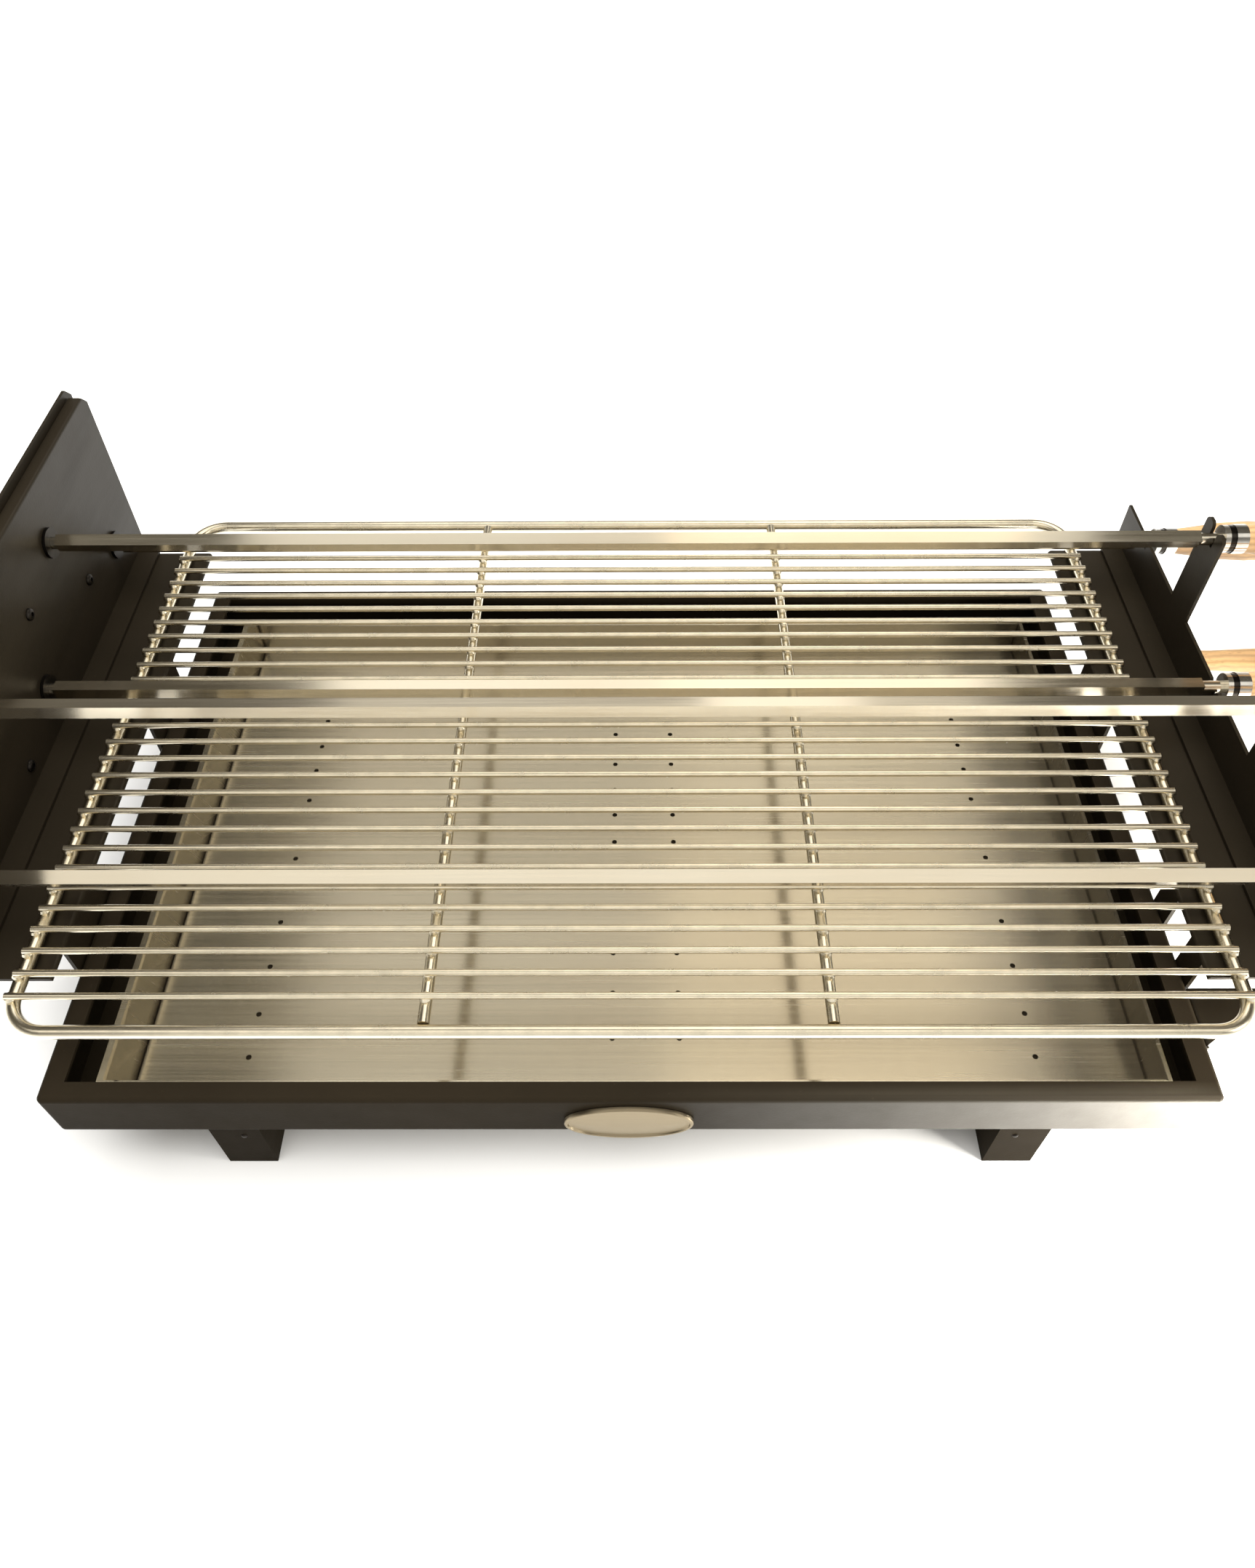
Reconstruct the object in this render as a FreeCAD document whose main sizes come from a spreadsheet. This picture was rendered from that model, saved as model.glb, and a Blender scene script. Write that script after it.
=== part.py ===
import FreeCAD, Part
import Sketcher
import math
import os

# Table-top charcoal spit grill, millimetres, Z up. The front faces minus Y, the wooden handles
# point to plus X. Sketches are drawn from the middle of the firebox, and each sub-part's
# placement moves it so that the origin is on the ground under the middle of the whole grill.

doc = FreeCAD.newDocument("spit_grill")
sheet = doc.addObject("Spreadsheet::Sheet", "sizes")
Vector = FreeCAD.Vector


class Size:
    """A number with the spreadsheet expression that gives it."""

    def __init__(self, value, text):
        self.value = float(value)
        self.text = text

    def __add__(self, other):
        other = sized(other)
        return Size(self.value + other.value, "(%s + %s)" % (self.text, other.text))

    def __sub__(self, other):
        other = sized(other)
        return Size(self.value - other.value, "(%s - %s)" % (self.text, other.text))

    def __mul__(self, other):
        other = sized(other)
        return Size(self.value * other.value, "(%s * %s)" % (self.text, other.text))

    def __truediv__(self, other):
        other = sized(other)
        return Size(self.value / other.value, "(%s / %s)" % (self.text, other.text))

    def __neg__(self):
        return Size(-self.value, "(-1 * %s)" % self.text)

    def __radd__(self, other):
        return sized(other) + self

    def __rsub__(self, other):
        return sized(other) - self

    def __rmul__(self, other):
        return sized(other) * self


def sized(number):
    if isinstance(number, Size):
        return number
    return Size(number, "(%.4f)" % number)


def size(alias, value, meaning):
    """Write one driving dimension in the sheet and return it."""
    size.row += 1
    row = str(size.row)
    sheet.set("A" + row, meaning)
    sheet.set("B" + row, "%g" % value)
    sheet.setAlias("B" + row, alias)
    return Size(value, "sizes." + alias)


size.row = 0

# Driving dimensions
seat_gap = size("seat_gap", 0.3, "gap between two pieces that rest on each other")
running_fit = size("running_fit", 0.08, "radial play of a journal in its bushing")
close_fit = size("close_fit", 0.05, "radial play of a ring on its bar")
sheet_t = size("sheet_t", 2.0, "thickness of the painted sheet steel")

box_half_x = size("box_half_x", 290.0, "half width of the firebox")
box_half_y = size("box_half_y", 190.0, "half depth of the firebox")
box_bottom = size("box_bottom", 44.0, "underside of the firebox above the ground")
box_h = size("box_h", 36.0, "height of the firebox")
rim_side = size("rim_side", 12.0, "width of the inward rim at the sides")
rim_front = size("rim_front", 10.0, "width of the inward rim at front and back")
bend_r = size("bend_r", 3.0, "outer bend radius of the firebox")
fold_r = size("fold_r", 1.8, "outer bend radius of the rails and plates")

foot_end = size("foot_end", 74.0, "from an end of the firebox to the outer side of a foot")
foot_w = size("foot_w", 26.0, "width of a foot")
foot_d = size("foot_d", 40.0, "depth of a foot")
foot_set = size("foot_set", 2.0, "set-back of a foot from the firebox wall")

pan_gap_left = size("pan_gap_left", 23.5, "from the left end of the firebox to the pan")
pan_gap_right = size("pan_gap_right", 19.4, "from the right end of the firebox to the pan")
pan_gap_front = size("pan_gap_front", 14.5, "from the front of the firebox to the pan")
pan_gap_back = size("pan_gap_back", 25.5, "from the back of the firebox to the pan")
pan_slope = size("pan_slope", 7.8, "how far the pan's left wall leans outwards")
pan_drop = size("pan_drop", 10.0, "rim of the pan below the top of the firebox")
pan_t = size("pan_t", 1.2, "thickness of the pan")
pan_hem = size("pan_hem", 1.0, "how far the pan's folded hem stands out")
hem_h = size("hem_h", 3.0, "height of the pan's folded hem")
pan_hole = size("pan_hole", 1.5, "radius of a draught hole in the pan")

rail_rise = size("rail_rise", 22.0, "top of the side rails above the firebox")
rail_set = size("rail_set", 55.0, "front end of the rails behind the firebox's front")
rail_over = size("rail_over", 13.0, "back end of the rails behind the firebox's back")
tab_drop = size("tab_drop", 42.0, "length of a tab below the rail")
tab_w = size("tab_w", 54.5, "width of a wide tab")
strip_w = size("strip_w", 16.5, "width of a narrow tab")
tab_back = size("tab_back", 70.5, "middle of the back tabs behind the firebox's middle")
tab_front = size("tab_front", 90.0, "middle of the left front tab before the firebox's middle")
strip_near = size("strip_near", 79.5, "middle of the nearer narrow tab before the middle")
strip_far = size("strip_far", 118.0, "middle of the other narrow tab before the middle")
bracket_w = size("bracket_w", 40.0, "width of the corner bracket beside the firebox")
bracket_d = size("bracket_d", 33.0, "depth of the corner bracket")
bracket_cut = size("bracket_cut", 27.0, "slant of the corner bracket's front edge")
bracket_leg = size("bracket_leg", 22.0, "height of the corner bracket's leg on the wall")

ledge_w = size("ledge_w", 50.0, "from the firebox to the inner face of an upright plate")
plate_over = size("plate_over", 12.0, "back edge of the upright plates behind the rails")
plate_foot = size("plate_foot", 14.0, "width of the foot flange of an upright plate")
tower_h = size("tower_h", 116.0, "height of the left upright plate above the rails")
tower_cut = size("tower_cut", 6.0, "cut corner at the top back of the tower")
cover_gap = size("cover_gap", 6.0, "inside thickness of the left tower")
cover_rise = size("cover_rise", 5.0, "height of the outer cover above the inner plate")
rest_h = size("rest_h", 29.0, "height of the right upright plate above the rails")
post_h = size("post_h", 90.0, "height of a spit post above the rails")
post_half = size("post_half", 13.0, "half width of a spit post")
post_round = size("post_round", 3.6, "rounding of a post's prongs")

low_axis = size("low_axis", 28.0, "axis of the lower spits above the rails")
high_axis = size("high_axis", 82.0, "axis of the upper spits above the rails")
spit_mid = size("spit_mid", 42.0, "middle spit behind the middle of the firebox")
spit_step = size("spit_step", 67.5, "distance from a spit to the next one")
bar_side = size("bar_side", 7.2, "side of the square spit bar")
journal_r = size("journal_r", 3.6, "radius of the round journals of a spit")
journal_l = size("journal_l", 7.0, "from the square of a spit to the right plate")
bar_set = size("bar_set", 5.0, "from the square of a spit to the tower plate")
collar_gap = size("collar_gap", 3.0, "from the spit rest to a collar")
tang_gap = size("tang_gap", 1.0, "free depth behind the tang in a handle")
bushing_r = size("bushing_r", 9.0, "radius of the flange of a bushing")
collar_r = size("collar_r", 8.0, "radius of the dark collar")
collar_w = size("collar_w", 6.0, "width of the dark collar")
ferrule_r = size("ferrule_r", 8.5, "radius of the ferrule")
ferrule_w = size("ferrule_w", 7.0, "width of the ferrule")
handle_l = size("handle_l", 112.0, "length of a wooden handle")
handle_r = size("handle_r", 12.8, "largest radius of a wooden handle")
tang_r = size("tang_r", 2.5, "radius of the tang inside the handle")
tang_l = size("tang_l", 70.0, "length of the tang inside the handle")
grip_r = size("grip_r", 7.4, "largest radius of the wooden side grip")
grip_l = size("grip_l", 66.0, "length of the wooden side grip")
grip_y = size("grip_y", 78.0, "side grip behind the middle of the firebox")
grip_z = size("grip_z", 14.5, "side grip above the rails")

grate_out = size("grate_out", 13.0, "side bars of the grate outside the firebox")
grate_set = size("grate_set", 23.4, "front bar of the grate behind the firebox's front")
grate_over = size("grate_over", 37.5, "back bar of the grate behind the firebox's back")
grate_bar = size("grate_bar", 3.5, "radius of the frame bar of the grate")
grate_bend = size("grate_bend", 20.0, "bend radius at the corners of the grate")
cross_share = size("cross_share", 0.3275, "place of a cross bar as a share of the half width")
cross_r = size("cross_r", 3.0, "radius of a cross bar")
wire_r = size("wire_r", 1.8, "radius of a thin wire")
wire_over = size("wire_over", 1.5, "end of a thin wire outside the side bar")
wire_front = size("wire_front", 16.5, "first thin wire behind the front bar")
wire_back = size("wire_back", 29.3, "last thin wire before the back bar")
wire_count = size("wire_count", 28, "number of thin wires")

badge_w = size("badge_w", 32.5, "half width of the oval plate")
badge_h = size("badge_h", 16.5, "half height of the oval plate")
badge_t = size("badge_t", 2.5, "thickness of the oval plate")
badge_up = size("badge_up", 13.5, "middle of the oval plate above the firebox's underside")

doc.recompute()
exported = []

# Places that more than one piece uses
box_top = box_bottom + box_h
rail_top = box_top + rail_rise
rail_front = box_half_y - rail_set
rail_back = box_half_y + rail_over
plate_x = box_half_x + ledge_w
plate_back = rail_back + plate_over
tower_top = rail_top + tower_h
rest_top = rail_top + rest_h
post_top = rail_top + post_h
spit_low = rail_top + low_axis
spit_high = rail_top + high_axis
foot_in = box_half_x - foot_end - foot_w
pan_left = box_half_x - pan_gap_left
pan_crease = pan_left - pan_slope
pan_right = box_half_x - pan_gap_right
pan_front = box_half_y - pan_gap_front
pan_back = box_half_y - pan_gap_back
pan_rim = box_top - pan_drop
grate_x = box_half_x + grate_out
grate_front = box_half_y - grate_set
grate_back = box_half_y + grate_over
cross_x = grate_x * cross_share
wire_half = grate_x + wire_over
wire_first = grate_front - wire_front
wire_pitch = (wire_first + grate_back - wire_back) / (wire_count - 1)
badge_z = box_bottom + badge_up
collar_x = plate_x + sheet_t + collar_gap
ferrule_x = collar_x + collar_w + seat_gap
handle_x = ferrule_x + ferrule_w + seat_gap
cover_x = -(plate_x + cover_gap + sheet_t * 2)
badge_y = -(box_half_y + seat_gap + badge_t)
shift_x = -(handle_x + handle_l + cover_x) / 2
shift_y = -(grate_back + grate_bar + badge_y) / 2


def bind(thing, name, amount):
    """Give a property its number and tie it to the sheet."""
    amount = sized(amount)
    thing.setExpression(name, amount.text)


def new_body(label):
    """Start a sub-part that is written to its own file."""
    body = doc.addObject("PartDesign::Body", label)
    body.Label = label
    body.AllowCompound = True
    bind(body, "Placement.Base.x", shift_x)
    bind(body, "Placement.Base.y", shift_y)
    exported.append(body)
    return body


def origin_feature(body, role):
    for feature in body.Origin.OriginFeatures:
        if feature.Role == role:
            return feature
    raise RuntimeError("no " + role)


def new_sketch(body, role, offset=0.0):
    """Sketch on an origin plane of the body, moved along the plane's normal."""
    sketch = body.newObject("Sketcher::SketchObject", body.Label + "_sketch")
    sketch.AttachmentSupport = [(origin_feature(body, role), "")]
    sketch.MapMode = "FlatFace"
    bind(sketch, "AttachmentOffset.Base.z", offset)
    return sketch


def pin(sketch, geometry, corner, u, v):
    """Hold one point of a sketch at u, v from the sketch origin."""
    for kind, axis, amount in (("DistanceX", -2, sized(u)), ("DistanceY", -1, sized(v))):
        if abs(amount.value) < 1e-9:
            sketch.addConstraint(Sketcher.Constraint("PointOnObject", geometry, corner, axis))
        else:
            number = sketch.addConstraint(
                Sketcher.Constraint(kind, -1, 1, geometry, corner, amount.value))
            sketch.setExpression("Constraints[%d]" % number, amount.text)


def outline(sketch, points):
    """Closed polygon through points of Size pairs."""
    points = [(sized(u), sized(v)) for u, v in points]
    first = sketch.GeometryCount
    count = len(points)
    for i in range(count):
        a = points[i]
        b = points[(i + 1) % count]
        start = Vector(a[0].value, a[1].value, 0)
        end = Vector(b[0].value, b[1].value, 0)
        sketch.addGeometry(Part.LineSegment(start, end), False)
    for i in range(count):
        after = first + (i + 1) % count
        sketch.addConstraint(Sketcher.Constraint("Coincident", first + i, 2, after, 1))
        pin(sketch, first + i, 1, points[i][0], points[i][1])


def rectangle(sketch, u0, v0, u1, v1):
    outline(sketch, [(u0, v0), (u1, v0), (u1, v1), (u0, v1)])


def circle(sketch, u, v, radius):
    u = sized(u)
    v = sized(v)
    radius = sized(radius)
    centre = Vector(u.value, v.value, 0)
    number = sketch.addGeometry(Part.Circle(centre, Vector(0, 0, 1), radius.value), False)
    pin(sketch, number, 3, u, v)
    rule = sketch.addConstraint(Sketcher.Constraint("Radius", number, radius.value))
    sketch.setExpression("Constraints[%d]" % rule, radius.text)


def pad(body, sketch, length):
    """Extrude a sketch along the plane's normal."""
    feature = body.newObject("PartDesign::Pad", body.Label + "_pad")
    feature.Profile = sketch
    bind(feature, "Length", length)
    body.Tip = feature
    sketch.Visibility = False
    return feature


def pocket(body, sketch, length, reverse=False):
    """Cut a sketch out of the body and check that something came away."""
    doc.recompute()
    before = body.Shape.Volume
    feature = body.newObject("PartDesign::Pocket", body.Label + "_pocket")
    feature.Profile = sketch
    feature.Reversed = reverse
    bind(feature, "Length", length)
    body.Tip = feature
    sketch.Visibility = False
    doc.recompute()
    if body.Shape.Volume > before - 1e-3:
        raise RuntimeError("pocket removed nothing in " + body.Label)
    return feature


def block_x(body, x0, x1, corners):
    """Polygon of (y, z) corners from x0 to x1."""
    sketch = new_sketch(body, "YZ_Plane", x0)
    outline(sketch, corners)
    return pad(body, sketch, sized(x1) - x0)


def block_y(body, y0, y1, corners):
    """Polygon of (x, z) corners from y0 to y1."""
    sketch = new_sketch(body, "XZ_Plane", -sized(y1))
    outline(sketch, corners)
    return pad(body, sketch, sized(y1) - y0)


def block_z(body, z0, z1, corners):
    """Polygon of (x, y) corners from z0 to z1."""
    sketch = new_sketch(body, "XY_Plane", z0)
    outline(sketch, corners)
    return pad(body, sketch, sized(z1) - z0)


def corners_of(u0, v0, u1, v1):
    return [(u0, v0), (u1, v0), (u1, v1), (u0, v1)]


def fillet(body, radius, chosen):
    """Round the edges that a test picks."""
    doc.recompute()
    last = body.Tip
    names = []
    for i, edge in enumerate(last.Shape.Edges):
        if chosen(edge):
            names.append("Edge%d" % (i + 1))
    if not names:
        raise RuntimeError("no edge to round in " + body.Label)
    feature = body.newObject("PartDesign::Fillet", body.Label + "_fillet")
    feature.Base = (last, names)
    bind(feature, "Radius", radius)
    body.Tip = feature
    return feature


def along(axis, **held):
    """Test for edges along an axis that lie at the given places."""
    def test(edge):
        box = edge.BoundBox
        for name in "XYZ":
            if name != axis and getattr(box, name + "Length") > 1e-6:
                return False
        return all(abs(getattr(box, name + "Min") - value.value) < 1e-4 for name, value in held.items())
    return test


# Firebox: a folded tray with an inward rim
def firebox():
    body = new_body("firebox")
    block_z(body, box_bottom, box_top, corners_of(-box_half_x, -box_half_y, box_half_x, box_half_y))
    fillet(body, bend_r, lambda edge: True)
    inner_x = box_half_x - sheet_t
    inner_y = box_half_y - sheet_t
    mouth_x = box_half_x - rim_side
    mouth_y = box_half_y - rim_front
    mouth = new_sketch(body, "XY_Plane", box_top)
    rectangle(mouth, -mouth_x, -mouth_y, mouth_x, mouth_y)
    pocket(body, mouth, box_top - box_bottom - sheet_t)
    hollow = new_sketch(body, "XY_Plane", box_top - sheet_t)
    rectangle(hollow, -inner_x, -inner_y, inner_x, inner_y)
    pocket(body, hollow, box_top - box_bottom - sheet_t * 2)
    return body


# Foot: a folded channel, front plate, two cheeks and a flange under the firebox
def foot(label, side, end):
    body = new_body(label)
    near = box_half_y - foot_set
    x0 = side * foot_in
    x1 = side * (foot_in + foot_w)
    y0 = end * near
    y1 = end * (near - foot_d)
    top = box_bottom - seat_gap
    low_x = min(x0, x1, key=lambda s: s.value)
    high_x = max(x0, x1, key=lambda s: s.value)
    low_y = min(y0, y1, key=lambda s: s.value)
    high_y = max(y0, y1, key=lambda s: s.value)
    block_z(body, 0, top, corners_of(low_x, low_y, high_x, high_y))
    inside = new_sketch(body, "XY_Plane", top - sheet_t)
    if end < 0:
        rectangle(inside, low_x + sheet_t, low_y + sheet_t, high_x - sheet_t, high_y + 1)
    else:
        rectangle(inside, low_x + sheet_t, low_y - 1, high_x - sheet_t, high_y - sheet_t)
    pocket(body, inside, top + 1)
    return body


# Oval plate on the front, left bare
def badge():
    body = new_body("badge")
    sketch = new_sketch(body, "XZ_Plane", box_half_y + seat_gap)
    wide = Part.Ellipse(Vector(badge_w.value, badge_z.value, 0),
                        Vector(0, badge_z.value + badge_h.value, 0), Vector(0, badge_z.value, 0))
    sketch.addGeometry(wide, False)
    pad(body, sketch, badge_t)
    doc.recompute()
    fillet(body, 1.2, lambda edge: edge.BoundBox.YMax < badge_y.value + 1e-3)
    return body


# Lift-out stainless pan
def pan():
    body = new_body("pan")
    base = box_bottom + sheet_t + seat_gap
    shell = [(-pan_left, pan_rim), (-pan_crease, base), (pan_right, base), (pan_right, pan_rim),
             (pan_right - pan_t, pan_rim), (pan_right - pan_t, base + pan_t),
             (-pan_crease + pan_t, base + pan_t), (-pan_left + pan_t, pan_rim)]
    block_y(body, -pan_front, pan_back, shell)
    gable = [(-pan_left, pan_rim), (-pan_crease, base), (pan_right, base), (pan_right, pan_rim)]
    block_y(body, -pan_front, pan_t - pan_front, gable)
    block_y(body, pan_back - pan_t, pan_back, gable)
    lip = pan_rim - hem_h
    band = corners_of(-pan_left - pan_hem, -pan_front - pan_hem, pan_right + pan_hem, pan_back + pan_hem)
    block_z(body, lip, pan_rim, band)
    mouth = new_sketch(body, "XY_Plane", pan_rim)
    rectangle(mouth, -pan_left + pan_t + pan_hem, -pan_front + pan_t, pan_right - pan_t, pan_back - pan_t)
    pocket(body, mouth, hem_h)
    holes = new_sketch(body, "XY_Plane", base + pan_t + 1)
    outer = (0.073, 0.148, 0.236, 0.323, 0.457, 0.526, 0.591, 0.664, 0.725, 0.792)
    inner = (0.105, 0.186, 0.261, 0.355, 0.424, 0.493, 0.555, 0.615, 0.678, 0.755)
    for column, rows in ((-0.78, outer), (-0.035, inner), (0.104, inner), (0.83, outer)):
        for row in rows:
            circle(holes, pan_crease * column, (pan_front + pan_back) * row - pan_front, pan_hole)
    pocket(body, holes, pan_t + 2)
    return body


# Side rail: ledge for the grate with tabs that hang against the firebox
def rail(label, side, outer, tabs):
    body = new_body(label)
    inner = box_half_x + seat_gap
    edges = [side * inner, side * outer]
    edges.sort(key=lambda s: s.value)
    ledge_low = rail_top - sheet_t
    block_z(body, ledge_low, rail_top, corners_of(edges[0], -rail_front, edges[1], rail_back))
    tab_x = [side * inner, side * (inner + sheet_t)]
    tab_x.sort(key=lambda s: s.value)
    for middle, width in tabs:
        near = middle - width / 2
        block_x(body, tab_x[0], tab_x[1], corners_of(near, ledge_low - tab_drop, near + width, ledge_low))
    fillet(body, fold_r, along("Y", X=side * inner, Z=rail_top))
    return body


# Corner bracket on the right wall of the firebox, before the rail
def corner_bracket():
    body = new_body("corner_bracket")
    wall = box_half_x + seat_gap
    back = -(strip_far + strip_w / 2 + 1.0)
    front = back - bracket_d
    outer = box_half_x + bracket_w
    top = box_top - sheet_t
    flat = [(wall, front), (outer, front + bracket_cut), (outer, back), (wall, back)]
    block_z(body, top - sheet_t, top, flat)
    block_x(body, wall, wall + sheet_t, corners_of(front, top - sheet_t - bracket_leg, back, top - sheet_t))
    fillet(body, fold_r, along("Y", X=wall, Z=top))
    return body


# Rows of spits: even places low, odd places high, from back to front
def spit_place(number):
    y = spit_mid + (2 - number) * spit_step
    z = spit_low if number % 2 == 0 else spit_high
    return y, z


SPITS = range(5)


# Left upright plate with the bushing holes
def tower_plate():
    body = new_body("tower_plate")
    low = rail_top + seat_gap
    top_in = -plate_x - sheet_t
    sketch = new_sketch(body, "YZ_Plane", top_in)
    outline(sketch, [(-rail_front, low), (plate_back, low), (plate_back, tower_top - tower_cut),
                     (plate_back - tower_cut, tower_top), (-rail_front, tower_top)])
    for number in SPITS:
        y, z = spit_place(number)
        circle(sketch, y, z, journal_r + 2.0 + close_fit)
    pad(body, sketch, sheet_t)
    flange = corners_of(-plate_x, low, -plate_x + plate_foot, low + sheet_t)
    block_y(body, -rail_front, rail_back, flange)
    cap = corners_of(-plate_x - cover_gap - sheet_t + seat_gap, tower_top - sheet_t, top_in, tower_top)
    block_y(body, -rail_front, plate_back - tower_cut, cap)
    fillet(body, fold_r, along("Y", X=-plate_x, Z=tower_top))
    return body


# Outer cover of the left tower
def tower_cover():
    body = new_body("tower_cover")
    low = rail_top + seat_gap
    inner = -plate_x - sheet_t - cover_gap
    high = tower_top + cover_rise
    block_x(body, inner - sheet_t, inner, [(-rail_front, low), (plate_back, low), (plate_back, high - tower_cut),
                                           (plate_back - tower_cut, high), (-rail_front, high)])
    edge = -plate_x - sheet_t - seat_gap
    lid = tower_top - sheet_t - seat_gap
    block_y(body, -rail_front, sheet_t - rail_front, corners_of(inner, low, edge, lid))
    block_y(body, plate_back - sheet_t, plate_back, corners_of(inner, low, edge, lid - tower_cut))
    fillet(body, fold_r, along("Z", X=inner - sheet_t))
    return body


# Right upright plate with open notches, two of them on posts
def spit_rest():
    body = new_body("spit_rest")
    low = rail_top + seat_gap
    notch = journal_r + seat_gap
    points = [(-rail_front, low), (plate_back, low), (plate_back, rest_top)]
    for number in SPITS:
        y, z = spit_place(number)
        if number % 2 == 0:
            points += [(y + notch + 2.5, rest_top), (y + notch, rest_top - 2.5)]
            points += [(y + notch, z - notch), (y - notch, z - notch)]
            points += [(y - notch, rest_top - 2.5), (y - notch - 2.5, rest_top)]
        else:
            points += [(y + post_half, rest_top), (y + post_half, post_top), (y + notch, post_top)]
            points += [(y + notch, z - notch), (y - notch, z - notch)]
            points += [(y - notch, post_top), (y - post_half, post_top), (y - post_half, rest_top)]
    points += [(-rail_front, rest_top)]
    block_x(body, plate_x, plate_x + sheet_t, points)
    fillet(body, post_round, along("X", Z=post_top))
    flange = corners_of(plate_x - plate_foot, low, plate_x, low + sheet_t)
    block_y(body, -rail_front, rail_back, flange)
    fillet(body, fold_r, along("Y", X=plate_x + sheet_t, Z=low))
    return body


# Five bushings in the left plate
def bushings():
    body = new_body("bushings")
    face = -plate_x + seat_gap
    ring = new_sketch(body, "YZ_Plane", face)
    for number in SPITS:
        y, z = spit_place(number)
        circle(ring, y, z, bushing_r)
        circle(ring, y, z, journal_r + running_fit)
    pad(body, ring, 1.8)
    sleeve = new_sketch(body, "YZ_Plane", face - sheet_t - 3.0)
    for number in SPITS:
        y, z = spit_place(number)
        circle(sleeve, y, z, journal_r + 2.0)
        circle(sleeve, y, z, journal_r + running_fit)
    pad(body, sleeve, sheet_t + 3.0)
    return body


def round_bar(body, x0, x1, radius, bore=None):
    """Cylinder or tube along X around the body's own axis."""
    sketch = new_sketch(body, "YZ_Plane", x0)
    circle(sketch, 0, 0, radius)
    if bore is not None:
        circle(sketch, 0, 0, bore)
    return pad(body, sketch, sized(x1) - x0)


# Form of a turned piece: shares of its length and of its largest radius
HANDLE_FORM = ((0.0, 0.625), (0.10, 0.734), (0.25, 0.922), (0.42, 1.0), (0.60, 0.938), (0.76, 0.766),
               (0.85, 0.703), (0.93, 0.828), (0.98, 0.75), (1.0, 0.469))
GRIP_FORM = ((0.0, 0.84), (0.2, 0.84), (0.6, 1.0), (0.85, 0.95), (0.97, 0.75), (1.0, 0.5))


def turned(body, start, length, radius, form, bore=None, depth=None):
    """Turn a form around the X axis, with a blind bore from its start."""
    sketch = new_sketch(body, "XZ_Plane")
    points = [(start + length * along_x, radius * share) for along_x, share in form]
    points.append((start + length, 0))
    if bore is None:
        points.append((start, 0))
    else:
        points += [(start + depth, 0), (start + depth, bore), (start, bore)]
    outline(sketch, points)
    feature = body.newObject("PartDesign::Revolution", body.Label + "_turned")
    feature.Profile = sketch
    feature.ReferenceAxis = (sketch, ["H_Axis"])
    feature.Angle = 360
    body.Tip = feature


def place_turned(body, y, z, turn=0.0):
    """Move a piece from the X axis to its place."""
    body.Placement = FreeCAD.Placement(Vector(0, 0, 0), FreeCAD.Rotation(Vector(1, 0, 0), turn))
    bind(body, "Placement.Base.x", shift_x)
    bind(body, "Placement.Base.y", y + shift_y)
    bind(body, "Placement.Base.z", z)


# Wooden grip on the outside of the right plate
def side_grip():
    body = new_body("side_grip")
    turned(body, plate_x + sheet_t + seat_gap, grip_l, grip_r, GRIP_FORM)
    place_turned(body, grip_y, rail_top + grip_z)


# One spit: square bar with journals and tang, collar, ferrule and turned handle
def spit(number, turn):
    name = "spit_%d" % (number + 1)
    journal_in = plate_x - journal_l
    tip = -plate_x - sheet_t - cover_gap * 0.75
    half = bar_side / 2

    bar = new_body(name + "_bar")
    block_x(bar, bar_set - plate_x, journal_in, corners_of(-half, -half, half, half))
    round_bar(bar, tip, bar_set - plate_x, journal_r)
    round_bar(bar, journal_in, ferrule_x + ferrule_w, journal_r)
    round_bar(bar, ferrule_x + ferrule_w, handle_x + tang_l, tang_r)

    collar = new_body(name + "_collar")
    round_bar(collar, collar_x, collar_x + collar_w, collar_r, journal_r + close_fit)

    ferrule = new_body(name + "_ferrule")
    round_bar(ferrule, ferrule_x, ferrule_x + ferrule_w, ferrule_r, journal_r + close_fit)

    handle = new_body(name + "_handle")
    turned(handle, handle_x, handle_l, handle_r, HANDLE_FORM, tang_r + close_fit, tang_l + tang_gap)

    for body in (bar, collar, ferrule, handle):
        y, z = spit_place(number)
        place_turned(body, y, z, turn)


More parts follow.
